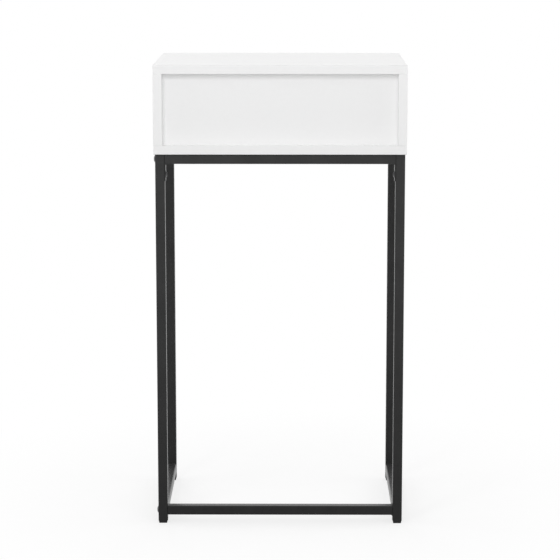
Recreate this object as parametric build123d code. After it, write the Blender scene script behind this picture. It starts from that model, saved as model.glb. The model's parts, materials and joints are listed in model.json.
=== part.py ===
from build123d import *
import os
from math import sqrt

# Side table with one drawer: a box of white boards on a frame of black square steel tube.
#
# Millimetres. The origin is on the floor under the middle of the table, +Z is up and +X is to
# the right of someone who stands at the drawer, which opens towards -Y. The recessed back panel
# and the lower cross rail are on the +Y side.
#
# Every piece of the right-hand side is drawn first, and the left-hand one is its mirror image.
# Only the right-hand ends of the cross rails are bolted through the legs: the top rails' left
# ends hold by their end plates alone, and the lower rail's left end is welded to its leg.

# ---------------------------------------------------------------- overall size
WIDTH = 420.0              # X, over the box
DEPTH = 300.0              # Y, over the box
HEIGHT = 780.0             # Z, floor to tabletop
BOX_HEIGHT = 148.0         # the box alone, tabletop included

# ---------------------------------------------------------------- boards of the box
BOARD = 15.0               # thickness of top, bottom, sides and drawer front
BACK_BOARD = 5.0
BACK_RECESS = 10.0         # back panel in from the rear edges
GROOVE_DEPTH = 6.0         # grooves that hold the back panel and the drawer bottom
GROOVE_SLACK = 0.5         # left free at the bottom of a groove
EDGE_BREAK = 0.5           # small bevel along every board edge
FIT = 0.1                  # a board in its groove, a pin in its hole, each side
BISCUIT_LENGTH = 53.0      # beech biscuits, glued in slots where the sides meet top and bottom
BISCUIT_REACH = 9.0        # into each of the two boards
BISCUIT_THICKNESS = 4.0
BISCUIT_POINT = 7.0        # its corners are cut off at 45 degrees
BISCUIT_SLACK = 0.3        # all round it in its slot
BISCUIT_INSET = 70.0       # its middle, in from the box's front and rear

# ---------------------------------------------------------------- steel frame
FRAME_INSET = 2.5          # frame in from the box, all round
TUBE = 16.0
TUBE_WALL = 1.2
TUBE_CORNER = 2.0          # outer corner radius
FOOT_HEIGHT = 6.0          # plastic foot below the tube
FOOT_RIM = 1.5             # rim of the foot, flush with the tube
FOOT_STEP = 0.6            # step in from the rim to the sole
FOOT_TAPER = 0.8           # sole draws in to its underside
FOOT_PLUG = 12.0           # hollow plug up inside the leg
FOOT_PLUG_WALL = 2.0
LOWER_RAIL_HEIGHT = 14.5   # floor to the underside of the lower rails

# ---------------------------------------------------------------- frame fastenings
BOLT_RADIUS = 3.0          # M6
BOLT_CLEARANCE = 0.3
BOLT_HEAD = 7.0            # radius of the broad dome head
BOLT_HEAD_HEIGHT = 2.4
BOLT_ENGAGED = 12.0        # bolt in the threaded plug of a rail
BOLT_SOCKET = 4.0          # across the flats of the hexagon socket
BOLT_SOCKET_DEPTH = 1.5
PLUG_LENGTH = 15.0         # threaded plug in a rail's end
PLATE = 1.5                # end plate of a top rail
PLATE_DROP = 29.0          # end plate below its rail
PLATE_CORNER = 5.0
PLATE_SCREW_DROP = 18.0    # plate screw below the rail
PLATE_SCREW_HEAD = 6.0
PLATE_SCREW_HEAD_HEIGHT = 2.6
PLATE_SCREW_LENGTH = 8.0

# ---------------------------------------------------------------- drawer
DRAWER_GAP = 2.0           # round the drawer front
DRAWER_BOARD = 12.0        # thickness of sides and back
DRAWER_SIDE_HEIGHT = 90.0
DRAWER_SPACE = 20.0        # left behind the drawer, in front of the back panel
DRAWER_BOTTOM = 3.0
DRAWER_BOTTOM_LIFT = 10.0  # bottom panel above the sides' lower edge
SCOOP_WIDTH = 90.0         # finger scoop in the front's top edge
SCOOP_DEPTH = 22.0
SCOOP_CORNER = 16.0
SCOOP_BEVEL = 1.5

# ---------------------------------------------------------------- roller runners
RUNNER_SPACE = 12.5        # between the box's side and the drawer's side
RUNNER_SHEET = 1.2
RUNNER_BEND = 1.6          # outer radius of the folds
RUNNER_LIFT = 3.5          # drawer runner above the box's bottom
RUNNER_SETBACK = 2.0       # box runner behind the drawer front
KEPT_IN = 60.0             # length of the drawer's side that is still in the box at the stops
ROLLER_RADIUS = 8.0
ROLLER_WIDTH = 7.0
ROLLER_BEVEL = 0.6
ROLL_CLEARANCE = 0.3       # roller to the sheet that it runs on
AXLE_RADIUS = 2.0
AXLE_CLEARANCE = 0.05
AXLE_SHOULDER = 0.6        # collar between sheet and roller
AXLE_SHOULDER_RADIUS = 3.0
AXLE_HEAD = 1.0
AXLE_HEAD_RADIUS = 3.4
AXLE_END_PLAY = 0.2        # roller between collar and head, each side
FRONT_AXLE_INSET = 12.0    # from the box runner's front end
REAR_AXLE_INSET = 10.0     # from the drawer runner's rear end
LOWER_FLANGE = 10.6        # box runner's lower flange, from the box's side
UPPER_FLANGE = 6.0
UPPER_FLANGE_GAP = 0.5     # box runner's upper flange above the drawer runner
UPPER_FLANGE_SETBACK = 25.0
RUNNING_FLANGE = 7.3       # width of the flange that runs on the front roller
FRONT_STOP_WIDTH = 3.6     # stops pressed out of the box runner's sheet
FRONT_STOP_HEIGHT = 3.0    # bottom of the front stop above the axle
FRONT_STOP_LENGTH = 3.0
REAR_STOP_WIDTH = 8.0
REAR_STOP_HEIGHT = 2.0     # top of the rear stop above the axle

# ---------------------------------------------------------------- places that follow from the sizes
BOX_BOTTOM = HEIGHT - BOX_HEIGHT
INSIDE_BOTTOM = BOX_BOTTOM + BOARD
INSIDE_TOP = HEIGHT - BOARD
INSIDE_X = WIDTH / 2 - BOARD
BACK_REAR = DEPTH / 2 - BACK_RECESS
BACK_FRONT = BACK_REAR - BACK_BOARD

FRAME_X = WIDTH / 2 - FRAME_INSET
FRAME_Y = DEPTH / 2 - FRAME_INSET
LEG_X = FRAME_X - TUBE / 2
LEG_Y = FRAME_Y - TUBE / 2
LEG_INNER_X = FRAME_X - TUBE
TOP_RAIL_Z = BOX_BOTTOM - TUBE / 2
LOWER_RAIL_Z = LOWER_RAIL_HEIGHT + TUBE / 2
TUBE_BORE = TUBE - 2 * TUBE_WALL
PLATE_SCREW_Z = BOX_BOTTOM - TUBE - PLATE_SCREW_DROP

FRONT_Y = -DEPTH / 2                       # face of the drawer front
DRAWER_Y = FRONT_Y + BOARD                 # front ends of the drawer's sides
DRAWER_REAR = BACK_FRONT - DRAWER_SPACE
DRAWER_X = INSIDE_X - RUNNER_SPACE         # outer face of the drawer's side
AXLE_Z = INSIDE_BOTTOM + RUNNER_LIFT + 2 * RUNNER_SHEET + ROLL_CLEARANCE + ROLLER_RADIUS
DRAWER_Z = AXLE_Z - ROLLER_RADIUS - ROLL_CLEARANCE - RUNNER_SHEET   # sides' lower edge
DRAWER_TOP = DRAWER_Z + DRAWER_SIDE_HEIGHT
DRAWER_BOTTOM_Z = DRAWER_Z + DRAWER_BOTTOM_LIFT

TRAVEL = DRAWER_REAR - DRAWER_Y - KEPT_IN            # drawer from shut to its stops
BOX_RUNNER_Y = DRAWER_Y + RUNNER_SETBACK
FRONT_AXLE_Y = BOX_RUNNER_Y + FRONT_AXLE_INSET
REAR_AXLE_Y = DRAWER_REAR - REAR_AXLE_INSET
RUN_TOP = ROLLER_RADIUS + ROLL_CLEARANCE   # running flange above the axle
UPPER_FLANGE_H = RUN_TOP + RUNNER_SHEET + UPPER_FLANGE_GAP
DRAWER_WEB = RUNNER_SPACE - RUNNER_SHEET   # drawer runner's web, from the box's side

ENDS = {"front": -1, "rear": 1}
UPWARD = (Align.CENTER, Align.CENTER, Align.MIN)
PAST = 1.0                 # how far a cut runs past the face that it opens


# ---------------------------------------------------------------- building blocks
def block(x0, x1, y0, y1, z0, z1):
    """A box between two corners."""
    corner = Pos(x0, y0, z0)
    return corner * Box(x1 - x0, y1 - y0, z1 - z0, align=(Align.MIN, Align.MIN, Align.MIN))


def board(x0, x1, y0, y1, z0, z1):
    """A board between two corners, with its edges broken."""
    plain = block(x0, x1, y0, y1, z0, z1)
    return chamfer(plain.edges(), EDGE_BREAK)


def pin_x(radius, x0, x1, y, z):
    """A round bar along X."""
    return Pos(x0, y, z) * Rot(0, 90, 0) * Cylinder(radius, x1 - x0, align=UPWARD)


def mirrored(piece):
    """A right-hand piece as its left-hand twin."""
    return mirror(piece, about=Plane.YZ)


def save(name, *pieces):
    """Write one node: its pieces as separate solids in one STEP file."""
    solids = [solid for piece in pieces for solid in piece.solids()]
    shape = solids[0] if len(solids) == 1 else Compound(solids)
    export_step(shape, f"parts/{name}.step")


def save_pair(name, piece):
    """Write a right-hand piece and its mirror image as two nodes."""
    save(f"right_{name}", piece)
    save(f"left_{name}", mirrored(piece))


def save_group(name, pieces):
    """Write right-hand pieces and their mirror images as one node."""
    save(name, *pieces, *[mirrored(piece) for piece in pieces])


# ---------------------------------------------------------------- the box
def biscuit(y, joint_z, slack=0.0):
    """A biscuit across the joint at joint_z in the right side, or with slack its slot."""
    x = INSIDE_X + BOARD / 2
    half_length = BISCUIT_LENGTH / 2 + slack
    half_thickness = BISCUIT_THICKNESS / 2 + slack
    reach = BISCUIT_REACH + slack
    blank = block(
        x - half_thickness, x + half_thickness,
        y - half_length, y + half_length,
        joint_z - reach, joint_z + reach,
    )
    return chamfer(blank.edges().filter_by(Axis.X), BISCUIT_POINT)


def box_biscuits(slack=0.0):
    """The right side's biscuits, two to the bottom and two to the top, or their slots."""
    rear = -FRONT_Y - BISCUIT_INSET
    return [biscuit(y, z, slack) for y in (-rear, rear) for z in (INSIDE_BOTTOM, INSIDE_TOP)]


def with_joinery(panel):
    """A board of the box with the slots and the back panel's groove cut in it."""
    for slot in box_biscuits(BISCUIT_SLACK):
        panel = panel - slot - mirrored(slot)
    x = INSIDE_X + GROOVE_DEPTH
    low, high = INSIDE_BOTTOM - GROOVE_DEPTH, INSIDE_TOP + GROOVE_DEPTH
    return panel - block(-x, x, BACK_FRONT - FIT, BACK_REAR + FIT, low, high)


def side_panel():
    """The right side, between bottom and tabletop."""
    return with_joinery(board(INSIDE_X, WIDTH / 2, FRONT_Y, -FRONT_Y, INSIDE_BOTTOM, INSIDE_TOP))


def flat_panel(z0, z1):
    """The tabletop or the box's bottom, over the full width and depth."""
    return with_joinery(board(-WIDTH / 2, WIDTH / 2, FRONT_Y, -FRONT_Y, z0, z1))


def back_panel():
    """The thin back, in its grooves on all four edges."""
    reach = GROOVE_DEPTH - GROOVE_SLACK
    x = INSIDE_X + reach
    return block(-x, x, BACK_FRONT, BACK_REAR, INSIDE_BOTTOM - reach, INSIDE_TOP + reach)


# ---------------------------------------------------------------- the frame
def tube(length):
    """A square tube on the origin, along +Z."""
    outside = RectangleRounded(TUBE, TUBE, TUBE_CORNER)
    return extrude(outside - Rectangle(TUBE_BORE, TUBE_BORE), length)


def bolt_places():
    """Depth and height of each bolt through a right leg: two top rails and the lower rail."""
    return [(-LEG_Y, TOP_RAIL_Z), (LEG_Y, TOP_RAIL_Z), (LEG_Y, LOWER_RAIL_Z)]


def leg(end):
    """A leg in the right-hand place, with the hole for its end plate's screw."""
    y = end * LEG_Y
    post = Pos(LEG_X, y, FOOT_HEIGHT) * tube(BOX_BOTTOM - FOOT_HEIGHT)
    return post - pin_x(BOLT_RADIUS + FIT, LEG_INNER_X - PAST, LEG_X, y, PLATE_SCREW_Z)


def drilled(piece):
    """A right-hand leg or end plate with clearance holes for the bolts that pass through it."""
    radius = BOLT_RADIUS + BOLT_CLEARANCE
    for y, z in bolt_places():
        piece = piece - pin_x(radius, LEG_INNER_X - PLATE - PAST, FRAME_X + PAST, y, z)
    return piece


def side_rail(z):
    """A right-hand rail from front leg to rear leg."""
    length = 2 * LEG_Y - TUBE
    return Pos(LEG_X, -length / 2, z) * Rot(-90, 0, 0) * tube(length)


def cross_rail(y, z, end_gap):
    """A rail from left to right that ends a given distance short of each leg."""
    half = LEG_INNER_X - end_gap
    return Pos(-half, y, z) * Rot(0, 90, 0) * tube(2 * half)


def end_plate(end):
    """The plate on a top cross rail's right end, with a tongue below for a screw."""
    inner = LEG_INNER_X - PLATE
    y = end * LEG_Y
    low = BOX_BOTTOM - TUBE - PLATE_DROP
    plate = block(inner, LEG_INNER_X, y - TUBE / 2, y + TUBE / 2, low, BOX_BOTTOM)
    plate = fillet(plate.edges().filter_by(Axis.X).group_by(Axis.Z)[0], PLATE_CORNER)
    radius = BOLT_RADIUS + BOLT_CLEARANCE
    return plate - pin_x(radius, inner - PAST, LEG_INNER_X + PAST, y, PLATE_SCREW_Z)


def rail_plug(y, z):
    """The threaded plug in the right end of a cross rail."""
    half = TUBE_BORE / 2 - FIT
    outer = LEG_INNER_X - plate_under(z)
    plug = block(outer - PLUG_LENGTH, outer, y - half, y + half, z - half, z + half)
    return plug - pin_x(BOLT_RADIUS + FIT, outer - PLUG_LENGTH - PAST, outer + PAST, y, z)


def plate_under(z):
    """Thickness of the end plate between leg and cross rail: only the top rails have one."""
    return PLATE if z == TOP_RAIL_Z else 0.0


def dome_screw(length, head_radius, head_height):
    """A button-head screw along -X from the origin: its head stands out towards +X."""
    rim = (head_radius, 0)
    crown = (0, head_height)
    profile = make_face(Line((0, 0), rim) + dome(rim, crown) + Line(crown, (0, 0)))
    head = revolve(Plane.XZ * profile, Axis.Z)
    hexagon = RegularPolygon(BOLT_SOCKET / 2, 6, major_radius=False)
    socket = Pos(0, 0, head_height - BOLT_SOCKET_DEPTH) * extrude(hexagon, head_height)
    return Rot(0, 90, 0) * (head - socket) + pin_x(BOLT_RADIUS, -length, 0, 0, 0)


def dome(rim, crown):
    """The dome's outline: the arc from the rim to the crown that is level at the crown."""
    half_width, rise = rim[0], crown[1]
    radius = (half_width**2 + rise**2) / (2 * rise)
    middle_x = half_width / 2
    middle_z = rise - radius + sqrt(radius**2 - middle_x**2)
    return ThreePointArc(rim, (middle_x, middle_z), crown)


def frame_bolts():
    """The bolts through the right legs into the cross rails' plugs."""
    bolts = []
    for y, z in bolt_places():
        length = TUBE + plate_under(z) + BOLT_ENGAGED
        bolts.append(Pos(FRAME_X, y, z) * dome_screw(length, BOLT_HEAD, BOLT_HEAD_HEIGHT))
    return bolts


def plate_screws():
    """The screws through the end plates' tongues, from inside the frame into the right legs."""
    screw = dome_screw(PLATE_SCREW_LENGTH, PLATE_SCREW_HEAD, PLATE_SCREW_HEAD_HEIGHT)
    inward = Rot(0, 0, 180) * screw
    return [Pos(LEG_INNER_X - PLATE, y, PLATE_SCREW_Z) * inward for y in (-LEG_Y, LEG_Y)]


def foot(end):
    """A right-hand foot: a tapered cap under the tube, with a hollow plug up inside the leg."""
    shoulder = FOOT_HEIGHT - FOOT_RIM
    top_width = TUBE - 2 * FOOT_STEP
    low_width = top_width - 2 * FOOT_TAPER
    underside = Rectangle(low_width, low_width)
    sole = loft([underside, Pos(0, 0, shoulder) * Rectangle(top_width, top_width)])
    rim = Pos(0, 0, shoulder) * extrude(RectangleRounded(TUBE, TUBE, TUBE_CORNER), FOOT_RIM)
    plug_width = TUBE_BORE - 2 * FIT
    hollow_width = plug_width - 2 * FOOT_PLUG_WALL
    plug = Rectangle(plug_width, plug_width) - Rectangle(hollow_width, hollow_width)
    cap = sole + rim + Pos(0, 0, FOOT_HEIGHT) * extrude(plug, FOOT_PLUG)
    return Pos(LEG_X, end * LEG_Y, 0) * cap


# ---------------------------------------------------------------- the drawer
def drawer_groove():
    """The groove for the drawer's bottom, in both sides and the front."""
    x = DRAWER_X - DRAWER_BOARD + GROOVE_DEPTH
    low, high = DRAWER_BOTTOM_Z - FIT, DRAWER_BOTTOM_Z + DRAWER_BOTTOM + FIT
    return block(-x, x, DRAWER_Y - GROOVE_DEPTH, DRAWER_REAR + PAST, low, high)


def drawer_front():
    """The drawer front, inset in the box, with a finger scoop in its top edge."""
    x = INSIDE_X - DRAWER_GAP
    top = INSIDE_TOP - DRAWER_GAP
    front = board(-x, x, FRONT_Y, DRAWER_Y, INSIDE_BOTTOM + DRAWER_GAP, top)
    scoop = RectangleRounded(SCOOP_WIDTH, 2 * SCOOP_DEPTH, SCOOP_CORNER)
    front = front - Pos(0, DRAWER_Y + PAST, top) * Rot(90, 0, 0) * extrude(scoop, BOARD + 2 * PAST)
    rim = [edge for edge in front.edges() if on_scoop_rim(edge.center(), top)]
    return chamfer(rim, SCOOP_BEVEL) - drawer_groove()


def on_scoop_rim(point, top):
    """True on the scoop's outline in the face of the drawer front."""
    on_face = abs(point.Y - FRONT_Y) < EDGE_BREAK / 2
    beside = abs(point.X) < SCOOP_WIDTH / 2 + EDGE_BREAK
    return on_face and beside and point.Z > top - SCOOP_DEPTH - EDGE_BREAK


def drawer_side():
    """The right side of the drawer."""
    inner = DRAWER_X - DRAWER_BOARD
    side = board(inner, DRAWER_X, DRAWER_Y, DRAWER_REAR, DRAWER_Z, DRAWER_TOP)
    return side - drawer_groove()


def drawer_back():
    """The drawer's back, between the sides and on top of the bottom."""
    x = DRAWER_X - DRAWER_BOARD
    low = DRAWER_BOTTOM_Z + DRAWER_BOTTOM
    return board(-x, x, DRAWER_REAR - DRAWER_BOARD, DRAWER_REAR, low, DRAWER_TOP)


def drawer_bottom():
    """The drawer's thin bottom, slid into its grooves from behind."""
    x = DRAWER_X - DRAWER_BOARD + GROOVE_DEPTH - GROOVE_SLACK
    front = DRAWER_Y - GROOVE_DEPTH + GROOVE_SLACK
    top = DRAWER_BOTTOM_Z + DRAWER_BOTTOM
    return block(-x, x, front, DRAWER_REAR, DRAWER_BOTTOM_Z, top)


# ---------------------------------------------------------------- the runners
# A runner's section is drawn in u, the distance from the box's right side towards the drawer,
# and h, the height above the roller axles.
def strip(u0, u1, y0, y1, h0, h1):
    """A box in the right runner's own measures."""
    return block(INSIDE_X - u1, INSIDE_X - u0, y0, y1, AXLE_Z + h0, AXLE_Z + h1)


def axle_pin(radius, u0, u1, y):
    """A round bar across the right runner, at the height of the axles."""
    low, high = min(u0, u1), max(u0, u1)
    return pin_x(radius, INSIDE_X - high, INSIDE_X - low, y, AXLE_Z)


def folded_sheet(outline, bends, y0, y1):
    """Sheet folded to a section of u, h points, its outer bends rounded, along Y."""
    face = make_face(Polyline(*outline, close=True))
    corners = [
        corner
        for corner in face.vertices()
        if any(abs(corner.X - u) + abs(corner.Y - h) < RUNNER_SHEET / 4 for u, h in bends)
    ]
    lying = Plane(origin=(INSIDE_X, y0, AXLE_Z), x_dir=(-1, 0, 0), z_dir=(0, 1, 0))
    return lying.location * extrude(fillet(corners, RUNNER_BEND), y1 - y0)


def box_runner():
    """The runner on the box's right side: a channel, open in front, with a stop at each end."""
    y0, y1 = BOX_RUNNER_Y, DRAWER_REAR + RUNNER_SETBACK
    floor, roof = -RUN_TOP, UPPER_FLANGE_H
    under, over = floor - RUNNER_SHEET, roof + RUNNER_SHEET
    outline = [
        (0, under), (LOWER_FLANGE, under), (LOWER_FLANGE, floor), (RUNNER_SHEET, floor),
        (RUNNER_SHEET, roof), (UPPER_FLANGE, roof), (UPPER_FLANGE, over), (0, over),
    ]
    runner = folded_sheet(outline, [(0, under), (0, over)], y0, y1)
    way_in = y0 + UPPER_FLANGE_SETBACK
    runner = runner - strip(-PAST, UPPER_FLANGE + PAST, y0 - PAST, way_in, RUN_TOP, over + PAST)
    front_stop_u = RUNNER_SHEET + FRONT_STOP_WIDTH
    stop_y = front_stop_y()
    runner = runner + strip(
        RUNNER_SHEET, front_stop_u, stop_y - FRONT_STOP_LENGTH, stop_y, FRONT_STOP_HEIGHT, roof
    )
    stop_y = REAR_AXLE_Y + ROLLER_RADIUS + ROLL_CLEARANCE
    rear_stop_u = RUNNER_SHEET + REAR_STOP_WIDTH
    runner = runner + strip(
        RUNNER_SHEET, rear_stop_u, stop_y, stop_y + RUNNER_SHEET, floor, REAR_STOP_HEIGHT
    )
    return runner - axle_pin(AXLE_RADIUS, -PAST, RUNNER_SHEET + PAST, FRONT_AXLE_Y)


def front_stop_y():
    """Rear face of the front stop, which the rear roller meets at full travel."""
    reach = sqrt(ROLLER_RADIUS**2 - FRONT_STOP_HEIGHT**2)
    return REAR_AXLE_Y - TRAVEL - reach - ROLL_CLEARANCE


def drawer_runner():
    """The runner on the drawer's right side: it wraps under the side and runs on the roller."""
    top, seat = RUN_TOP + RUNNER_SHEET, DRAWER_Z - AXLE_Z
    under = seat - RUNNER_SHEET
    edge = RUNNER_SPACE - RUNNING_FLANGE
    wrap = RUNNER_SPACE + DRAWER_BOARD
    outline = [
        (edge, RUN_TOP), (edge, top), (RUNNER_SPACE, top), (RUNNER_SPACE, seat),
        (wrap, seat), (wrap, under), (DRAWER_WEB, under), (DRAWER_WEB, RUN_TOP),
    ]
    bends = [(RUNNER_SPACE, top), (DRAWER_WEB, under)]
    runner = folded_sheet(outline, bends, DRAWER_Y, DRAWER_REAR)
    return runner - axle_pin(AXLE_RADIUS, DRAWER_WEB - PAST, RUNNER_SPACE + PAST, REAR_AXLE_Y)


def axle(face, away, y):
    """A riveted axle on the right: it leaves the sheet's face at u = face, towards away."""
    head = face + away * (AXLE_SHOULDER + ROLLER_WIDTH + 2 * AXLE_END_PLAY)
    shank = axle_pin(AXLE_RADIUS, face - away * RUNNER_SHEET, head, y)
    collar = axle_pin(AXLE_SHOULDER_RADIUS, face, face + away * AXLE_SHOULDER, y)
    return shank + collar + axle_pin(AXLE_HEAD_RADIUS, head, head + away * AXLE_HEAD, y)


def roller(face, away, y):
    """A nylon roller on such an axle, with bevelled rims."""
    start = face + away * (AXLE_SHOULDER + AXLE_END_PLAY)
    end = start + away * ROLLER_WIDTH
    wheel = axle_pin(ROLLER_RADIUS, start, end, y)
    wheel = chamfer(wheel.edges().filter_by(GeomType.CIRCLE), ROLLER_BEVEL)
    return wheel - axle_pin(AXLE_RADIUS + AXLE_CLEARANCE, start - away, end + away, y)


# ---------------------------------------------------------------- the whole table
def make_box():
    save("top_panel", flat_panel(INSIDE_TOP, HEIGHT))
    save("bottom_panel", flat_panel(BOX_BOTTOM, INSIDE_BOTTOM))
    save_pair("side_panel", side_panel())
    save("back_panel", back_panel())
    save_group("box_biscuits", box_biscuits())


def make_frame():
    for end_name, end in ENDS.items():
        post, plate = leg(end), end_plate(end)
        save(f"right_{end_name}_leg", drilled(post))
        save(f"left_{end_name}_leg", mirrored(post))
        save_pair(f"{end_name}_foot", foot(end))
        save(f"{end_name}_top_rail", cross_rail(end * LEG_Y, TOP_RAIL_Z, PLATE))
        save(f"{end_name}_end_plates", drilled(plate), mirrored(plate))
    save("rear_lower_rail", cross_rail(LEG_Y, LOWER_RAIL_Z, 0.0))
    save_pair("top_rail", side_rail(TOP_RAIL_Z))
    save_pair("lower_rail", side_rail(LOWER_RAIL_Z))
    save("rail_plugs", *[rail_plug(y, z) for y, z in bolt_places()])
    save("frame_bolts", *frame_bolts())
    save_group("end_plate_screws", plate_screws())


def make_drawer():
    save("drawer_front", drawer_front())
    save_pair("drawer_side", drawer_side())
    save("drawer_back", drawer_back())
    save("drawer_bottom", drawer_bottom())


def make_runners():
    save_pair("box_runner", box_runner())
    save_pair("drawer_runner", drawer_runner())
    save_pair("front_roller", roller(RUNNER_SHEET, 1, FRONT_AXLE_Y))
    save_pair("rear_roller", roller(DRAWER_WEB, -1, REAR_AXLE_Y))
    save_group("front_axles", [axle(RUNNER_SHEET, 1, FRONT_AXLE_Y)])
    save_group("rear_axles", [axle(DRAWER_WEB, -1, REAR_AXLE_Y)])


os.makedirs("parts", exist_ok=True)
make_box()
make_frame()
make_drawer()
make_runners()
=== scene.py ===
import json
import math

import bmesh
import bpy
from bpy.props import FloatProperty, FloatVectorProperty, PointerProperty
from bpy.types import Operator, Panel, PropertyGroup
from mathutils import Matrix, Vector


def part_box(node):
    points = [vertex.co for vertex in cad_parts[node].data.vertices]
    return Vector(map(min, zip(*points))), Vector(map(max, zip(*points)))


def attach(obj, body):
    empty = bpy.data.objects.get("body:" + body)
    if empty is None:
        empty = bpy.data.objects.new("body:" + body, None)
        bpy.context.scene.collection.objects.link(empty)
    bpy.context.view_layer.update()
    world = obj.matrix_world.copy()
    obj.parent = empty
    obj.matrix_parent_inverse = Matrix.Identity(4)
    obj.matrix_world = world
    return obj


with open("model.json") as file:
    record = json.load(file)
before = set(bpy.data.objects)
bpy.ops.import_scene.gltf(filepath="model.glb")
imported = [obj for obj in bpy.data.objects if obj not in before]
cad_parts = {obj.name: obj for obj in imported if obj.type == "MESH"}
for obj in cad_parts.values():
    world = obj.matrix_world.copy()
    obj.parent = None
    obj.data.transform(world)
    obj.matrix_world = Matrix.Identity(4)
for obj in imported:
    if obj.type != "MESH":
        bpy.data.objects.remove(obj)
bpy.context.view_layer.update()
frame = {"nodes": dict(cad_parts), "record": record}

bl_info = {
    "name": "Side Table with Drawer",
    "version": (1, 0, 0),
    "blender": (4, 5, 0),
    "location": "View3D > Sidebar > Side Table",
    "description": "Finishes, welds, screws and studio for a white table on a black frame",
    "category": "Object",
}

MM = 0.001
X, Y, Z = Vector((1, 0, 0)), Vector((0, 1, 0)), Vector((0, 0, 1))
SIDES = (("left", -1), ("right", 1))  # each with the sign of its X

# where fasteners stand along what they hold, as shares of its length
RAIL_SCREWS = (0.22, 0.78)
BOX_RUNNER_SCREWS = (0.13, 0.52, 0.9)
DRAWER_RUNNER_SCREWS = (0.08, 0.5, 0.9)
DRAWER_BACK_SCREWS = (0.42, 0.82)
DRAWER_BOTTOM_SCREWS = (0.15, 0.5, 0.85)
CAM_LOCKS = (0.33, 0.78)

CAM_SETBACK = 24 * MM  # from the sides' front ends to the cam locks' middles
RUNNER_SHEET = 1.2 * MM  # thickness of the box runners' walls
RAIL_HEAD_RISE = 0.55  # height of a rail screw's head, as a share of its radius
WELD_SUNK = 0.3  # how far a bead's middle lies in the metal, as a share of its radius
WELD_LENGTH = 0.72  # of a bead, as a share of the tube's width
SHARP_ANGLE = math.radians(38)  # edges that turn more than this aren't smoothed

# a board's normal along its thickness, from which a surface counts as its face or its edge; what
# lies between is the rounded trim of the edge
FACE_FROM, EDGE_UP_TO = 0.95, 0.05

# turned profiles, as rings of height and share of the radius: the pan head's heights are shares
# of its rise, and the other two's are millimetres
PAN_PROFILE = ((0, 0.97), (0.35, 1.0), (0.7, 0.9), (0.92, 0.72), (1.0, 0.52))
SUNK_PROFILE = ((-0.3, 1.0), (0.1, 1.0), (0.16, 0.94))
CAM_PROFILE = (
    (-0.4, 1.0),
    (0.3, 1.0),
    (0.45, 0.96),
    (0.45, 0.86),
    (0.1, 0.82),
    (0.1, 0.62),
    (0.45, 0.56),
)
# the cross sunk in each: its arm and half its width, as shares of the radius, and its depth, in
# the unit of the profile's heights
PAN_CROSS = (0.4, 0.12, 0.75)
SUNK_CROSS = (0.5, 0.14, 0.4)
CAM_CROSS = (0.42, 0.1, 0.75)
CROSS_TAPER = 0.65  # size of a cross at its floor, as a share of its mouth

# a weld's ripple, as shares of its length and of the bead's radius, and the bead's two ends, as
# shares of the radius: how far they reach, and how wide they are
RIPPLE_PROFILE = ((0, 0.84), (0.35, 1.0), (0.75, 0.97))
BEAD_TIP = 0.35
BEAD_START, BEAD_LAST, BEAD_END = 0.35, 0.82, 0.3

# the lamps: name, property that holds the power, width, place, and whether glossy surfaces
# mirror it instead of the white backdrop; they all look at one point on the box
LAMPS = (
    ("key_lamp", "key", 0.4, (0.91, 1.69, 2.14), True),
    ("fill_lamp", "fill", 1.5, (-0.08, 1.35, 1.15), False),
    ("back_fill_lamp", "back_fill", 2.0, (0.0, -1.8, 1.3), False),
    ("left_fill_lamp", "side_fill", 1.2, (-1.8, 0.0, 1.2), False),
    ("right_fill_lamp", "side_fill", 1.2, (1.8, 0.0, 1.2), False),
)
LIT_POINT = Vector((0.0, 0.0, 0.7))

# the floor: from the near to the far distance from its middle, what the camera sees of it goes
# from the least share of plain white to all white, and the light that it gives back from none
# to the most
FLOOR_HALF_WIDTH = 6.0
WHITE_NEAR, WHITE_FAR, WHITE_LEAST = 0.25, 0.75, 0.72
BOUNCE_NEAR, BOUNCE_FAR, BOUNCE_MOST = 0.45, 1.3, 0.95
PAPER_TONE = 0.88

# the camera, turned about the point that it looks at
CAMERA_AIM = Vector((0.001, 0.0, 0.3957))
CAMERA_DISTANCE = 3.762
CAMERA_AZIMUTH, CAMERA_ELEVATION = math.radians(180.32), math.radians(9.8)
CAMERA_REACH = 50.0
FOCAL_LENGTH, SENSOR_WIDTH = 138.8, 36.0  # in millimetres


# ---------------------------------------------------------------- colours and sizes
def linear(hex_colour):
    """An sRGB hex value as linear red, green and blue."""
    channels = [int(hex_colour[i : i + 2], 16) / 255 for i in (0, 2, 4)]
    return tuple(c / 12.92 if c <= 0.04045 else ((c + 0.055) / 1.055) ** 2.4 for c in channels)


def colour(name, description, hex_colour):
    """A colour that the sidebar shows, with its default as an sRGB hex value."""
    return FloatVectorProperty(
        name=name,
        description=description,
        subtype="COLOR",
        size=3,
        min=0.0,
        max=1.0,
        default=linear(hex_colour),
    )


def length(name, description, millimetres):
    """A length that the sidebar shows, with its default in millimetres."""
    return FloatProperty(
        name=name,
        description=description,
        subtype="DISTANCE",
        unit="LENGTH",
        min=0.0,
        default=millimetres * MM,
    )


def power(name, description, watts):
    """A lamp's power that the sidebar shows."""
    return FloatProperty(
        name=name, description=description, unit="POWER", min=0.0, default=watts
    )


def level(name, description, strength):
    """A level of the world's light that the sidebar shows."""
    return FloatProperty(name=name, description=description, min=0.0, default=strength)


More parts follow.
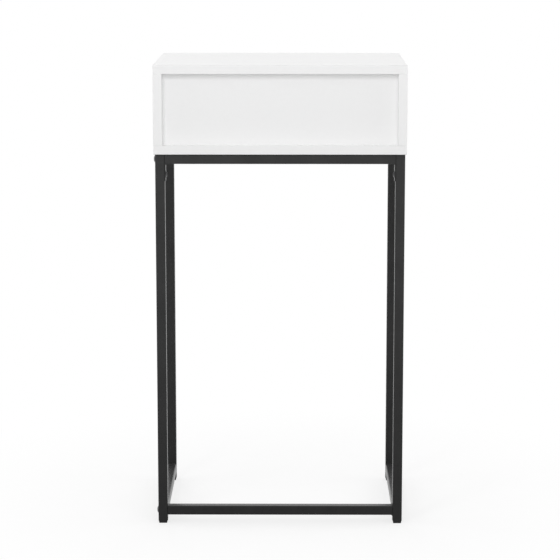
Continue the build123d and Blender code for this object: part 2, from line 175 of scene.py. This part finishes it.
class SideTableColours(PropertyGroup):
    melamine: colour("Melamine", "Face of the white boards", "F1F1F1")
    edge_band: colour("Edge band", "ABS band round the boards' edges", "F0F0F0")
    hardboard: colour("Hardboard", "Lacquered back panel and drawer bottom", "F0F0F0")
    powder_coat: colour("Powder coat", "Coat of the steel frame", "383838")
    polyethylene: colour("Feet", "Moulded plastic feet", "1E1E1F")
    black_oxide: colour("Bolts", "Blackened bolts and screws", "1C1C1E")
    zinc_plating: colour("Zinc plating", "Axles, plugs and small screws", "C9CBCD")
    cast_zinc: colour("Cast zinc", "Cam locks of the drawer", "A3A5A8")
    epoxy: colour("Epoxy coat", "Folded runners", "ECECE8")
    nylon: colour("Nylon", "Rollers", "E6E5DD")
    beech: colour("Beech", "Biscuits in the box's joints", "C49A6C")


class SideTableSizes(PropertyGroup):
    weld_radius: length("Weld", "Radius of the weld beads", 3.1)
    weld_ripple: length("Weld ripple", "Distance from one ripple of a weld to the next", 1.3)
    pan_head: length("Pan head", "Radius of the runners' screw heads", 3.4)
    pan_rise: length("Pan height", "Height of the runners' screw heads", 1.5)
    rail_head: length("Rail screw head", "Radius of the screw heads under the side rails", 4.5)
    sunk_head: length("Sunk head", "Radius of the sunk screw heads in the drawer's sides", 3.8)
    cam_lock: length("Cam lock", "Radius of the drawer's cam locks", 7.4)


class SideTableStudio(PropertyGroup):
    key: power("Key", "Power of the small lamp", 7.6)
    fill: power("Fill", "Power of the big softbox", 9.2)
    back_fill: power("Back fill", "Power of the softbox on the drawer's side", 19.0)
    side_fill: power("Side fill", "Power of each softbox beside the table", 10.0)
    horizon: level("Horizon", "Light that comes level from all round", 0.25)
    zenith: level("Zenith", "Light that comes from straight above", 0.62)


# ---------------------------------------------------------------- node trees
def node(tree, kind, inputs=None, **settings):
    """Add a node with its settings. An input takes a value, or a socket to link it to. A Mix
    node's inputs go by number: 0 is the factor, 2 and 3 are numbers, 6 and 7 are colours."""
    added = tree.nodes.new(kind)
    for name, value in settings.items():
        setattr(added, name, value)
    for name, value in (inputs or {}).items():
        if isinstance(value, bpy.types.NodeSocket):
            tree.links.new(value, added.inputs[name])
        else:
            added.inputs[name].default_value = value
    return added


def new_material(name):
    """A new material, its emptied node tree and a Texture Coordinate node."""
    material = bpy.data.materials.new(name)
    material.use_nodes = True
    tree = material.node_tree
    tree.nodes.clear()
    return material, tree, node(tree, "ShaderNodeTexCoord")


def add_surface(tree, inputs):
    """Add the Principled shader and the output of a material."""
    shader = node(tree, "ShaderNodeBsdfPrincipled", inputs)
    node(tree, "ShaderNodeOutputMaterial", {"Surface": shader.outputs["BSDF"]})


def mottled(tree, where, size, low, high, detail=2.0, roughness=0.5):
    """A number that drifts from low to high in blotches about size across, in metres."""
    noise = node(
        tree,
        "ShaderNodeTexNoise",
        {"Vector": where, "Scale": 1 / size, "Detail": detail, "Roughness": roughness},
    ).outputs["Fac"]
    # most of the noise lies between 0.3 and 0.7
    return node(
        tree,
        "ShaderNodeMapRange",
        {"Value": noise, "From Min": 0.3, "From Max": 0.7, "To Min": low, "To Max": high},
    ).outputs["Result"]


def toned(tree, where, size, tint, dark, light, detail=2.0, roughness=0.5):
    """A colour that drifts between two shares of itself in blotches about size across."""
    drift = mottled(tree, where, size, 0.0, 1.0, detail, roughness)
    darker, lighter = (
        (*(min(1.0, channel * share) for channel in tint), 1.0) for share in (dark, light)
    )
    return node(
        tree, "ShaderNodeMix", {0: drift, 6: darker, 7: lighter}, data_type="RGBA"
    ).outputs[2]


def relief(tree, where, size, depth, detail=2.0, under=None):
    """Bumps about size across and depth high, in metres, on top of others if they are given."""
    height = node(
        tree, "ShaderNodeTexNoise", {"Vector": where, "Scale": 1 / size, "Detail": detail}
    ).outputs["Fac"]
    inputs = {"Height": height, "Distance": depth, "Strength": 1.0}
    if under:
        inputs["Normal"] = under
    return node(tree, "ShaderNodeBump", inputs).outputs["Normal"]


# ---------------------------------------------------------------- finishes
def melamine_board(colours, face_axis):
    """Particle board faced with white melamine paper, pressed with a fine pearl, its edges
    banded with ABS. The eye sees an even satin white whose pearl breaks up reflections, edges
    that are a little smoother, and a thin line where band and face were trimmed together."""
    material, tree, where = new_material(f"melamine_faced_board_{'xyz'[face_axis]}")
    place = where.outputs["Object"]
    across = [0.0, 0.0, 0.0]
    across[face_axis] = 1.0
    facing = node(
        tree,
        "ShaderNodeVectorMath",
        {0: where.outputs["Normal"], 1: across},
        operation="DOT_PRODUCT",
    ).outputs["Value"]
    turn = node(tree, "ShaderNodeMath", {0: facing}, operation="ABSOLUTE").outputs[0]
    on_face = node(
        tree, "ShaderNodeMath", {0: turn, 1: FACE_FROM}, operation="GREATER_THAN"
    ).outputs[0]
    on_band = node(
        tree, "ShaderNodeMath", {0: turn, 1: EDGE_UP_TO}, operation="LESS_THAN"
    ).outputs[0]
    # faint clouding of the printed paper, some 60 mm across
    face = toned(tree, place, 60 * MM, colours.melamine, 0.99, 1.0)
    # the band was planed lengthwise, in waves some 9 mm long
    band = toned(tree, place, 9 * MM, colours.edge_band, 0.98, 0.992)
    trimmed = toned(tree, place, 9 * MM, colours.edge_band, 0.88, 0.92)
    edge = node(
        tree, "ShaderNodeMix", {0: on_band, 6: trimmed, 7: band}, data_type="RGBA"
    ).outputs[2]
    tint = node(tree, "ShaderNodeMix", {0: on_face, 6: edge, 7: face}, data_type="RGBA").outputs[2]
    face_gloss = mottled(tree, place, 14 * MM, 0.36, 0.44)
    gloss = node(
        tree, "ShaderNodeMix", {0: on_face, 2: 0.3, 3: face_gloss}, data_type="FLOAT"
    ).outputs[0]
    # the pearl is 0.4 mm wide on the real board, and is drawn 0.9 mm wide so that it shows
    pearl = node(
        tree, "ShaderNodeTexNoise", {"Vector": place, "Scale": 1 / (0.9 * MM), "Detail": 1.0}
    ).outputs["Fac"]
    height = node(tree, "ShaderNodeMath", {0: pearl, 1: on_face}, operation="MULTIPLY").outputs[0]
    skin = node(
        tree, "ShaderNodeBump", {"Height": height, "Distance": 0.02 * MM, "Strength": 1.0}
    ).outputs["Normal"]
    add_surface(tree, {"Base Color": tint, "Roughness": gloss, "Normal": skin, "IOR": 1.5})
    return material


def lacquered_hardboard(colours):
    """Thin hardboard with a rolled white lacquer: smooth and satin, with the roller's faint
    stipple and the fibres just showing as a cloud under the lacquer."""
    material, tree, where = new_material("lacquered_hardboard")
    place = where.outputs["Object"]
    fibre = toned(tree, place, 7 * MM, colours.hardboard, 0.98, 0.992, detail=4.0, roughness=0.6)
    # the stipple is 0.8 mm wide, and is drawn 1.4 mm wide so that it shows
    stipple = relief(tree, place, 1.4 * MM, 0.02 * MM, detail=1.0)
    gloss = mottled(tree, place, 22 * MM, 0.38, 0.46)
    add_surface(tree, {"Base Color": fibre, "Roughness": gloss, "Normal": stipple, "IOR": 1.5})
    return material


def powder_coated_steel(colours):
    """Polyester powder baked on steel tube: satin black with a fine hard grain and a matting
    agent, so that there is hardly a gleam straight on and no reflection stays sharp, but faces
    seen at a low angle turn grey."""
    material, tree, where = new_material("powder_coated_steel")
    place = where.outputs["Object"]
    peel = relief(tree, place, 4 * MM, 0.03 * MM, detail=0.0)
    # the grain is 0.3 mm wide, and is drawn 0.8 mm wide so that it shows
    powder = relief(tree, place, 0.8 * MM, 0.05 * MM, under=peel)
    add_surface(
        tree,
        {
            "Base Color": toned(tree, place, 35 * MM, colours.powder_coat, 0.92, 1.08),
            "Roughness": mottled(tree, place, 6 * MM, 0.26, 0.34),
            "Normal": powder,
            "IOR": 1.45,
            "Specular Tint": (0.2, 0.2, 0.2, 1.0),
        },
    )
    return material


def moulded_polyethylene(colours):
    """Injection-moulded polyethylene: a soft waxy black, duller than the coated steel above and
    with a weak, wide gleam."""
    material, tree, where = new_material("moulded_polyethylene")
    place = where.outputs["Object"]
    add_surface(
        tree,
        {
            "Base Color": toned(tree, place, 5 * MM, colours.polyethylene, 0.9, 1.1),
            "Roughness": mottled(tree, place, 2 * MM, 0.5, 0.62),
            "Normal": relief(tree, place, 0.6 * MM, 0.015 * MM),
            "IOR": 1.51,
            "Specular Tint": (0.55, 0.55, 0.55, 1.0),
        },
    )
    return material


def blackened_steel(colours):
    """Steel bolts blackened in a hot salt bath and oiled: dark, with a satin gleam."""
    material, tree, where = new_material("blackened_steel")
    place = where.outputs["Object"]
    add_surface(
        tree,
        {
            "Base Color": toned(tree, place, 3 * MM, colours.black_oxide, 0.85, 1.2),
            "Roughness": mottled(tree, place, 1.5 * MM, 0.24, 0.34),
            "Normal": relief(tree, place, 0.5 * MM, 0.008 * MM),
            "IOR": 1.6,
        },
    )
    return material


def zinc_plated_steel(colours):
    """Bright zinc plating on turned steel: a cool metal with cloudy passivation."""
    material, tree, where = new_material("zinc_plated_steel")
    place = where.outputs["Object"]
    add_surface(
        tree,
        {
            "Base Color": toned(tree, place, 4 * MM, colours.zinc_plating, 0.84, 1.0, detail=3.0),
            "Metallic": 1.0,
            "Roughness": mottled(tree, place, 1.2 * MM, 0.24, 0.38),
            "Normal": relief(tree, place, 0.4 * MM, 0.006 * MM),
        },
    )
    return material


def die_cast_zinc(colours):
    """Zinc alloy as it leaves the die: a dull grey metal with a cold, slightly rough skin."""
    material, tree, where = new_material("die_cast_zinc")
    place = where.outputs["Object"]
    flow = toned(tree, place, 5 * MM, colours.cast_zinc, 0.78, 1.0, detail=4.0, roughness=0.65)
    add_surface(
        tree,
        {
            "Base Color": flow,
            "Metallic": 1.0,
            "Roughness": mottled(tree, place, 1.0 * MM, 0.42, 0.58),
            "Normal": relief(tree, place, 0.5 * MM, 0.02 * MM),
        },
    )
    return material


def epoxy_coated_sheet(colours):
    """Epoxy powder on folded sheet: a glossy white skin with the slight waves of orange peel."""
    material, tree, where = new_material("epoxy_coated_sheet")
    place = where.outputs["Object"]
    add_surface(
        tree,
        {
            "Base Color": toned(tree, place, 20 * MM, colours.epoxy, 0.97, 1.0),
            "Roughness": mottled(tree, place, 5 * MM, 0.18, 0.26),
            "Normal": relief(tree, place, 2.5 * MM, 0.04 * MM, detail=0.0),
            "IOR": 1.55,
        },
    )
    return material


def moulded_nylon(colours):
    """Natural nylon rollers: a creamy, slightly waxy white with marks where they have run."""
    material, tree, where = new_material("moulded_nylon")
    place = where.outputs["Object"]
    add_surface(
        tree,
        {
            "Base Color": toned(tree, place, 2.5 * MM, colours.nylon, 0.9, 1.0, detail=3.0),
            "Roughness": mottled(tree, place, 2 * MM, 0.34, 0.46),
            "Normal": relief(tree, place, 0.7 * MM, 0.012 * MM),
            "IOR": 1.53,
        },
    )
    return material


def compressed_beech(colours):
    """Pressed beech: straight pale grain along the biscuit, with short darker flecks."""
    material, tree, where = new_material("compressed_beech")
    # fibres run along Y, so the pattern is drawn out twelve times that way
    along = node(
        tree, "ShaderNodeMapping", {"Vector": where.outputs["Object"], "Scale": (1.0, 1 / 12, 1.0)}
    ).outputs["Vector"]
    add_surface(
        tree,
        {
            "Base Color": toned(tree, along, 0.8 * MM, colours.beech, 0.72, 1.0, detail=3.0),
            "Roughness": mottled(tree, along, 1.2 * MM, 0.55, 0.7),
            "Normal": relief(tree, along, 0.6 * MM, 0.03 * MM),
            "IOR": 1.5,
        },
    )
    return material


FINISHES = {
    "white_hardboard": lacquered_hardboard,
    "black_powder_coat": powder_coated_steel,
    "black_plastic": moulded_polyethylene,
    "black_fastener": blackened_steel,
    "zinc_plated_steel": zinc_plated_steel,
    "die_cast_zinc": die_cast_zinc,
    "white_epoxy_coat": epoxy_coated_sheet,
    "white_nylon": moulded_nylon,
    "beech": compressed_beech,
}
BOARD_SLOT = "white_melamine_board"
made = {}


def finish_for(context, slot, face_axis=2):
    """The material of a slot, made once. Boards have one for each way that they face."""
    key = (slot, face_axis) if slot == BOARD_SLOT else slot
    if key not in made:
        colours = context.scene.side_table_colours
        if slot == BOARD_SLOT:
            made[key] = melamine_board(colours, face_axis)
        else:
            made[key] = FINISHES[slot](colours)
    return made[key]


def coat(context, slots):
    """Give the frame's own nodes of these slots their finish."""
    for subpart in frame["record"]["subparts"]:
        if subpart["material_slot"] in slots:
            low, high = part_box(subpart["node"])
            extent = high - low
            face_axis = list(extent).index(min(extent))
            material = finish_for(context, subpart["material_slot"], face_axis)
            mesh = frame["nodes"][subpart["node"]].data
            mesh.materials.clear()
            mesh.materials.append(material)


# ---------------------------------------------------------------- turned and swept shapes
def turned(bm, rings, segments):
    """Rise from a closed foot in an empty bmesh, through rings of (height, radius) on Z;
    returns the last loop."""
    loops = []
    for height, radius in rings:
        place = Matrix.Translation((0, 0, height))
        bmesh.ops.create_circle(bm, segments=segments, radius=radius, matrix=place)
        loops.append(bm.edges[-segments:])
    bmesh.ops.contextual_create(bm, geom=loops[0])
    for below, above in zip(loops, loops[1:]):
        bmesh.ops.bridge_loops(bm, edges=below + above)
    return loops[-1]


def cross_outline(bm, height, arm, half_width):
    """A closed loop of edges round a cross."""
    corners = []
    for quarter in range(4):
        turn = Matrix.Rotation(quarter * math.pi / 2, 3, "Z")
        for x, y in ((arm, -half_width), (arm, half_width), (half_width, half_width)):
            corners.append(bm.verts.new(turn @ Vector((x, y, height))))
    return [
        bm.edges.new((corner, corners[i - len(corners) + 1])) for i, corner in enumerate(corners)
    ]


def cross_recess(bm, loop, height, arm, half_width, depth):
    """Close a loop at this height with a flat that has a tapered cross sunk in it."""
    mouth = cross_outline(bm, height, arm, half_width)
    floor = cross_outline(bm, height - depth, CROSS_TAPER * arm, CROSS_TAPER * half_width)
    bmesh.ops.triangle_fill(bm, use_beauty=True, use_dissolve=False, edges=loop + mouth)
    bmesh.ops.bridge_loops(bm, edges=mouth + floor)
    bmesh.ops.contextual_create(bm, geom=floor)


def turned_head(profile, cross, unit, radius, segments):
    """The head of a screw or lock on the origin, its heights and depth in this unit."""
    bm = bmesh.new()
    rings = [(height * unit, share * radius) for height, share in profile]
    loop = turned(bm, rings, segments)
    arm, half_width, depth = cross
    cross_recess(bm, loop, rings[-1][0], arm * radius, half_width * radius, depth * unit)
    return bm


def pan_head(radius, rise):
    """A low pan-head wood screw's head."""
    return turned_head(PAN_PROFILE, PAN_CROSS, rise, radius, segments=20)


def sunk_head(radius):
    """The flat of a sunk screw, a hair proud of the board."""
    return turned_head(SUNK_PROFILE, SUNK_CROSS, MM, radius, segments=20)


def cam_disc(radius):
    """The face of a cam lock: a rim, a sunk ring and a raised hub with a cross in it."""
    return turned_head(CAM_PROFILE, CAM_CROSS, MM, radius, segments=32)


def weld_bead(radius, ripple, length_along):
    """A weld bead along Z, centred, swelling and narrowing once for each ripple."""
    bm = bmesh.new()
    end = length_along / 2
    tip = BEAD_TIP * radius
    count = max(2, round(length_along / ripple))
    step = length_along / count
    rings = [(-end - tip, BEAD_START * radius)]
    for i in range(count):
        for along, share in RIPPLE_PROFILE:
            rings.append((-end + i * step + along * step, share * radius))
    rings += [(end, BEAD_LAST * radius), (end + tip, BEAD_END * radius)]
    loop = turned(bm, rings, segments=10)
    bmesh.ops.contextual_create(bm, geom=loop)
    return bm


def standing(point, direction):
    """The place of a shape whose +Z turns to a direction."""
    return Matrix.Translation(point) @ direction.to_track_quat("Z", "Y").to_matrix().to_4x4()


def part_way(low, high, share):
    """The value at this share of the way from low to high."""
    return low + share * (high - low)


def add_copies(context, name, body, slot, template, places):
    """Add one finished piece, made of copies of a template, that rides on a body."""
    pattern = bpy.data.meshes.new(f"{name}_pattern")
    template.to_mesh(pattern)
    template.free()
    bm = bmesh.new()
    for place in places:
        count = len(bm.verts)
        bm.from_mesh(pattern)
        bm.verts.ensure_lookup_table()
        bmesh.ops.transform(bm, matrix=place, verts=bm.verts[count:])
    bpy.data.meshes.remove(pattern)
    bmesh.ops.recalc_face_normals(bm, faces=bm.faces)
    for face in bm.faces:
        face.smooth = True
    mesh = bpy.data.meshes.new(name)
    bm.to_mesh(mesh)
    bm.free()
    mesh.set_sharp_from_angle(angle=SHARP_ANGLE)
    mesh.materials.append(finish_for(context, slot))
    piece = bpy.data.objects.new(name, mesh)
    context.scene.collection.objects.link(piece)
    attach(piece, body)


# ---------------------------------------------------------------- operators
class SIDE_TABLE_OT_boards(Operator):
    """Give the boards of box and drawer their melamine, edge bands and lacquer"""

    bl_idname = "side_table.boards"
    bl_label = "Finish the Boards"

    def execute(self, context):
        coat(context, {BOARD_SLOT, "white_hardboard", "beech"})
        return {"FINISHED"}


class SIDE_TABLE_OT_steel_frame(Operator):
    """Coat the steel frame and finish its feet, bolts and plugs"""

    bl_idname = "side_table.steel_frame"
    bl_label = "Finish the Frame"

    def execute(self, context):
        coat(context, {"black_powder_coat", "black_plastic"})
        coat(context, {"black_fastener", "zinc_plated_steel"})
        return {"FINISHED"}


class SIDE_TABLE_OT_runners(Operator):
    """Coat the folded runners and finish their rollers"""

    bl_idname = "side_table.runners"
    bl_label = "Finish the Runners"

    def execute(self, context):
        coat(context, {"white_epoxy_coat", "white_nylon"})
        return {"FINISHED"}


class SIDE_TABLE_OT_welds(Operator):
    """Lay weld beads where rails meet legs and end plates"""

    bl_idname = "side_table.welds"
    bl_label = "Weld Beads"

    def execute(self, context):
        sizes = context.scene.side_table_sizes
        radius = sizes.weld_radius
        sunk = WELD_SUNK * radius
        places = []
        for side, _ in SIDES:
            for rail, faces in (("top_rail", (-1,)), ("lower_rail", (-1, 1))):
                low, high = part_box(f"{side}_{rail}")
                x = (low.x + high.x) / 2
                for y, inward in ((low.y, -1), (high.y, 1)):
                    for face in faces:
                        z = high.z if face > 0 else low.z
                        point = Vector((x, y + inward * sunk, z - face * sunk))
                        places.append(standing(point, X))
        for end in ("front", "rear"):
            low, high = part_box(f"{end}_top_rail")
            for x, inward in ((low.x, -1), (high.x, 1)):
                point = Vector((x + inward * sunk, (low.y + high.y) / 2, low.z + sunk))
                places.append(standing(point, Y))
        low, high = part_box("rear_lower_rail")
        for z, face in ((low.z, -1), (high.z, 1)):
            point = Vector((low.x - sunk, (low.y + high.y) / 2, z - face * sunk))
            places.append(standing(point, Y))
        bead_length = WELD_LENGTH * (high.y - low.y)
        bead = weld_bead(radius, sizes.weld_ripple, bead_length)
        add_copies(context, "weld_beads", "table", "black_powder_coat", bead, places)
        return {"FINISHED"}


class SIDE_TABLE_OT_rail_screws(Operator):
    """Add the screws that go up through the top side rails into the box"""

    bl_idname = "side_table.rail_screws"
    bl_label = "Rail Screws"

    def execute(self, context):
        sizes = context.scene.side_table_sizes
        places = []
        for side, _ in SIDES:
            low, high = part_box(f"{side}_top_rail")
            for share in RAIL_SCREWS:
                y = part_way(low.y, high.y, share)
                places.append(standing(Vector(((low.x + high.x) / 2, y, low.z)), -Z))
        head = pan_head(sizes.rail_head, RAIL_HEAD_RISE * sizes.rail_head)
        add_copies(context, "rail_screws", "table", "black_fastener", head, places)
        return {"FINISHED"}


class SIDE_TABLE_OT_runner_screws(Operator):
    """Add the pan-head screws that hold the runners to box and drawer"""

    bl_idname = "side_table.runner_screws"
    bl_label = "Runner Screws"

    def execute(self, context):
        sizes = context.scene.side_table_sizes
        on_box, on_drawer = [], []
        for side, sign in SIDES:
            roller_low, roller_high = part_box(f"{side}_front_roller")
            z = (roller_low.z + roller_high.z) / 2
            low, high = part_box(f"{side}_box_runner")
            x = sign * (max(abs(low.x), abs(high.x)) - RUNNER_SHEET)
            for share in BOX_RUNNER_SCREWS:
                y = part_way(low.y, high.y, share)
                on_box.append(standing(Vector((x, y, z)), -sign * X))
            board_low, board_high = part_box(f"{side}_drawer_side")
            x = (board_low.x + board_high.x) / 2
            low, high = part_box(f"{side}_drawer_runner")
            for share in DRAWER_RUNNER_SCREWS:
                y = part_way(low.y, high.y, share)
                on_drawer.append(standing(Vector((x, y, low.z)), -Z))
        for name, body, places in (
            ("box_runner_screws", "table", on_box),
            ("drawer_runner_screws", "drawer", on_drawer),
        ):
            head = pan_head(sizes.pan_head, sizes.pan_rise)
            add_copies(context, name, body, "zinc_plated_steel", head, places)
        return {"FINISHED"}


class SIDE_TABLE_OT_drawer_screws(Operator):
    """Add the screws that hold the drawer's back and bottom"""

    bl_idname = "side_table.drawer_screws"
    bl_label = "Drawer Screws"

    def execute(self, context):
        sizes = context.scene.side_table_sizes
        back_low, back_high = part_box("drawer_back")
        y = (back_low.y + back_high.y) / 2
        in_sides, in_bottom = [], []
        for side, sign in SIDES:
            low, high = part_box(f"{side}_drawer_side")
            x = sign * max(abs(low.x), abs(high.x))
            for share in DRAWER_BACK_SCREWS:
                z = part_way(low.z, high.z, share)
                in_sides.append(standing(Vector((x, y, z)), sign * X))
        low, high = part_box("drawer_bottom")
        for share in DRAWER_BOTTOM_SCREWS:
            x = part_way(low.x, high.x, share)
            in_bottom.append(standing(Vector((x, y, low.z)), -Z))
        slot = "zinc_plated_steel"
        flat = sunk_head(sizes.sunk_head)
        add_copies(context, "drawer_back_screws", "drawer", slot, flat, in_sides)
        head = pan_head(sizes.pan_head, sizes.pan_rise)
        add_copies(context, "drawer_bottom_screws", "drawer", slot, head, in_bottom)
        return {"FINISHED"}


class SIDE_TABLE_OT_cam_locks(Operator):
    """Add the cam locks inside the drawer that pull its front on"""

    bl_idname = "side_table.cam_locks"
    bl_label = "Cam Locks"

    def execute(self, context):
        sizes = context.scene.side_table_sizes
        places = []
        for side, sign in SIDES:
            low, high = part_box(f"{side}_drawer_side")
            x = sign * min(abs(low.x), abs(high.x))
            for share in CAM_LOCKS:
                z = part_way(low.z, high.z, share)
                places.append(standing(Vector((x, low.y + CAM_SETBACK, z)), -sign * X))
        disc = cam_disc(sizes.cam_lock)
        add_copies(context, "drawer_cam_locks", "drawer", "die_cast_zinc", disc, places)
        return {"FINISHED"}


# ---------------------------------------------------------------- studio
def backdrop_rays(tree):
    """1 for the rays that have to see a plain white backdrop: camera, glossy, transmission."""
    path = node(tree, "ShaderNodeLightPath")
    seen = node(
        tree,
        "ShaderNodeMath",
        {0: path.outputs["Is Camera Ray"], 1: path.outputs["Is Glossy Ray"]},
        operation="MAXIMUM",
    ).outputs[0]
    return node(
        tree,
        "ShaderNodeMath",
        {0: seen, 1: path.outputs["Is Transmission Ray"]},
        operation="MAXIMUM",
    ).outputs[0]


def studio_floor():
    """White paper: it takes the table's soft shadow near the feet and is plain white further
    out, so that it runs into the white backdrop without a line. Under the table it gives back
    no light, and further out it lights the box from below, so that the frame grows darker
    towards the floor."""
    material, tree, where = new_material("white_paper_floor")
    centre_distance = node(
        tree, "ShaderNodeVectorMath", {0: where.outputs["Object"]}, operation="LENGTH"
    ).outputs["Value"]
    far = node(
        tree,
        "ShaderNodeMapRange",
        {
            "Value": centre_distance,
            "From Min": WHITE_NEAR,
            "From Max": WHITE_FAR,
            "To Min": WHITE_LEAST,
        },
        interpolation_type="SMOOTHSTEP",
    ).outputs["Result"]
    seen = backdrop_rays(tree)
    fac = node(tree, "ShaderNodeMath", {0: far, 1: seen}, operation="MULTIPLY").outputs[0]
    bounce = node(
        tree,
        "ShaderNodeMapRange",
        {
            "Value": centre_distance,
            "From Min": BOUNCE_NEAR,
            "From Max": BOUNCE_FAR,
            "To Max": BOUNCE_MOST,
        },
    ).outputs["Result"]
    tone = node(
        tree, "ShaderNodeMix", {0: seen, 2: bounce, 3: PAPER_TONE}, data_type="FLOAT"
    ).outputs[0]
    paper = node(tree, "ShaderNodeBsdfDiffuse", {"Color": tone})
    white = node(tree, "ShaderNodeEmission", {"Color": (1, 1, 1, 1), "Strength": 1.0})
    upper = node(
        tree, "ShaderNodeMixShader", {0: fac, 1: paper.outputs[0], 2: white.outputs[0]}
    )
    # from below, the floor doesn't hide the table
    below = node(tree, "ShaderNodeNewGeometry").outputs["Backfacing"]
    clear = node(tree, "ShaderNodeBsdfTransparent")
    mixed = node(
        tree, "ShaderNodeMixShader", {0: below, 1: upper.outputs[0], 2: clear.outputs[0]}
    )
    node(tree, "ShaderNodeOutputMaterial", {"Surface": mixed.outputs[0]})
    return material


def light_world(scene, horizon, zenith):
    """A white world: plain white to the camera and in reflections, and as a light brighter
    from above than from the sides, as under a ceiling of softboxes."""
    world = bpy.data.worlds.new("white_studio")
    world.use_nodes = True
    tree = world.node_tree
    tree.nodes.clear()
    upward = node(
        tree,
        "ShaderNodeSeparateXYZ",
        {"Vector": node(tree, "ShaderNodeTexCoord").outputs["Generated"]},
    ).outputs["Z"]
    light = node(
        tree, "ShaderNodeMapRange", {"Value": upward, "To Min": horizon, "To Max": zenith}
    ).outputs["Result"]
    strength = node(
        tree, "ShaderNodeMix", {0: backdrop_rays(tree), 2: light, 3: 1.0}, data_type="FLOAT"
    ).outputs[0]
    glow = node(tree, "ShaderNodeBackground", {"Color": (1, 1, 1, 1), "Strength": strength})
    node(tree, "ShaderNodeOutputWorld", {"Surface": glow.outputs[0]})
    scene.world = world


def add_softbox(scene, name, watts, width, place, mirrored):
    """Add a square area lamp that looks at the lit point. Glossy surfaces show the white
    backdrop in its place unless it is mirrored."""
    lamp = bpy.data.lights.new(name, "AREA")
    lamp.energy = watts
    lamp.shape = "SQUARE"
    lamp.size = width
    holder = bpy.data.objects.new(name, lamp)
    holder.matrix_world = standing(Vector(place), Vector(place) - LIT_POINT)
    holder.visible_glossy = mirrored
    scene.collection.objects.link(holder)


def add_camera(scene):
    """Add a long lens a little above the tabletop, behind the table and just left of its
    middle."""
    away = Vector(
        (
            math.sin(CAMERA_AZIMUTH) * math.cos(CAMERA_ELEVATION),
            -math.cos(CAMERA_AZIMUTH) * math.cos(CAMERA_ELEVATION),
            math.sin(CAMERA_ELEVATION),
        )
    )
    lens = bpy.data.cameras.new("camera")
    lens.lens = FOCAL_LENGTH
    lens.sensor_width = SENSOR_WIDTH
    lens.clip_end = CAMERA_REACH
    camera = bpy.data.objects.new("camera", lens)
    camera.matrix_world = standing(CAMERA_AIM + CAMERA_DISTANCE * away, away)
    scene.collection.objects.link(camera)
    scene.camera = camera


class SIDE_TABLE_OT_studio(Operator):
    """Add the white floor, the soft lamps and the camera"""

    bl_idname = "side_table.studio"
    bl_label = "Studio"

    def execute(self, context):
        scene = context.scene
        studio = scene.side_table_studio
        bm = bmesh.new()
        bmesh.ops.create_grid(bm, x_segments=1, y_segments=1, size=FLOOR_HALF_WIDTH)
        mesh = bpy.data.meshes.new("floor")
        bm.to_mesh(mesh)
        bm.free()
        mesh.materials.append(studio_floor())
        floor = bpy.data.objects.new("floor", mesh)
        scene.collection.objects.link(floor)
        light_world(scene, studio.horizon, studio.zenith)
        for name, watts, width, place, mirrored in LAMPS:
            add_softbox(scene, name, getattr(studio, watts), width, place, mirrored)
        add_camera(scene)
        scene.view_settings.view_transform = "Standard"
        return {"FINISHED"}


class SIDE_TABLE_PT_sidebar(Panel):
    """Sizes, colours and steps of the side table"""

    bl_idname = "SIDE_TABLE_PT_sidebar"
    bl_label = "Side Table"
    bl_space_type = "VIEW_3D"
    bl_region_type = "UI"
    bl_category = "Side Table"

    def draw(self, context):
        for group in ("side_table_colours", "side_table_sizes", "side_table_studio"):
            values = getattr(context.scene, group)
            column = self.layout.column(align=True)
            for name in values.__annotations__:
                column.prop(values, name)
        for step in STEPS:
            self.layout.operator(step.bl_idname)


STEPS = (
    SIDE_TABLE_OT_boards,
    SIDE_TABLE_OT_steel_frame,
    SIDE_TABLE_OT_runners,
    SIDE_TABLE_OT_welds,
    SIDE_TABLE_OT_rail_screws,
    SIDE_TABLE_OT_runner_screws,
    SIDE_TABLE_OT_drawer_screws,
    SIDE_TABLE_OT_cam_locks,
    SIDE_TABLE_OT_studio,
)
GROUPS = {
    "side_table_colours": SideTableColours,
    "side_table_sizes": SideTableSizes,
    "side_table_studio": SideTableStudio,
}
CLASSES = (*GROUPS.values(), *STEPS, SIDE_TABLE_PT_sidebar)


def register():
    for cls in CLASSES:
        bpy.utils.register_class(cls)
    for name, group in GROUPS.items():
        setattr(bpy.types.Scene, name, PointerProperty(type=group))


def unregister():
    for name in GROUPS:
        delattr(bpy.types.Scene, name)
    for cls in reversed(CLASSES):
        bpy.utils.unregister_class(cls)


def main():
    register()
    bpy.ops.side_table.boards()
    bpy.ops.side_table.steel_frame()
    bpy.ops.side_table.runners()
    bpy.ops.side_table.welds()
    bpy.ops.side_table.rail_screws()
    bpy.ops.side_table.runner_screws()
    bpy.ops.side_table.drawer_screws()
    bpy.ops.side_table.cam_locks()
    bpy.ops.side_table.studio()


if __name__ == "__main__":
    main()
